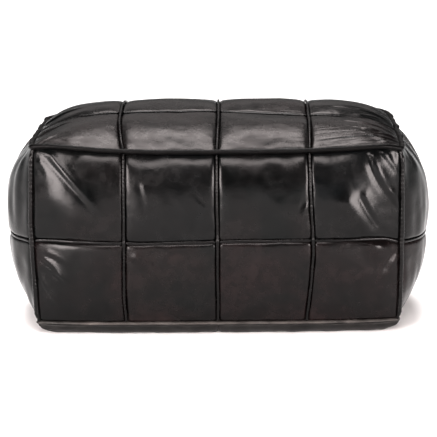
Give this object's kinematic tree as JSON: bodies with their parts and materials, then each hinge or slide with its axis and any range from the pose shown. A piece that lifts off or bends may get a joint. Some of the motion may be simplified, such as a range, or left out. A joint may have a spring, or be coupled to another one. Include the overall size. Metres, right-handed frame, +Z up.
{
  "type": "leather pouf",
  "caption": "Rectangular stuffed leather pouf with a patchwork cover of welted squares, a cotton inner bag and a zip in the base.",
  "frame": {"origin": "on the floor under the middle of the pouf", "axes": "+X along the length, +Z up, -Y towards the front"},
  "size_m": [0.7144, 0.3612, 0.3579],
  "materials": {
    "leather": "glossy aniline goat leather",
    "base_leather": "semi-gloss leather",
    "welt_leather": "glossy leather, stitched",
    "liner_cotton": "plain woven black cotton",
    "filling": "loose cotton waste",
    "zip_tape": "woven polyester tape",
    "zip_coil": "nylon coil",
    "zip_metal": "gunmetal plating"
  },
  "bodies": {
    "root": {"back_column_welts": "welt_leather", "back_row_welts": "welt_leather", "back_square_lower_1": "leather", "back_square_lower_2": "leather", "back_square_lower_3": "leather", "back_square_lower_4": "leather", "back_square_upper_1": "leather", "back_square_upper_2": "leather", "back_square_upper_3": "leather", "back_square_upper_4": "leather", "base_back_left": "base_leather", "base_back_right": "base_leather", "base_edge_welt": "welt_leather", "base_front_left": "base_leather", "base_front_right": "base_leather", "corner_welts": "welt_leather", "cotton_liner": "liner_cotton", "filling": "filling", "front_column_welts": "welt_leather", "front_row_welts": "welt_leather", "front_square_lower_1": "leather", "front_square_lower_2": "leather", "front_square_lower_3": "leather", "front_square_lower_4": "leather", "front_square_upper_1": "leather", "front_square_upper_2": "leather", "front_square_upper_3": "leather", "front_square_upper_4": "leather", "left_column_welts": "welt_leather", "left_row_welts": "welt_leather", "left_square_lower_1": "leather", "left_square_lower_2": "leather", "left_square_upper_1": "leather", "left_square_upper_2": "leather", "right_column_welts": "welt_leather", "right_row_welts": "welt_leather", "right_square_lower_1": "leather", "right_square_lower_2": "leather", "right_square_upper_1": "leather", "right_square_upper_2": "leather", "top_column_welts": "welt_leather", "top_edge_welt": "welt_leather", "top_row_welts": "welt_leather", "top_square_back_1": "leather", "top_square_back_2": "leather", "top_square_back_3": "leather", "top_square_back_4": "leather", "top_square_front_1": "leather", "top_square_front_2": "leather", "top_square_front_3": "leather", "top_square_front_4": "leather", "zip_coil_back": "zip_coil", "zip_coil_front": "zip_coil", "zip_stops": "zip_metal", "zip_tape_back": "zip_tape", "zip_tape_front": "zip_tape"},
    "slider": {"zip_slider": "zip_metal", "zip_bail": "zip_metal"},
    "pull": {"zip_pull": "zip_metal"}
  },
  "joints": [
    {"name": "zip_slide", "type": "slide", "parent": "root", "child": "slider", "axis": [1, 0, 0], "range_m": [0, 0.361]},
    {"name": "pull_hinge", "type": "hinge", "parent": "slider", "child": "pull", "pos_m": [-0.1805, 0, 0.0042], "axis": [0, 1, 0], "range_deg": [-10, 170]}
  ]
}
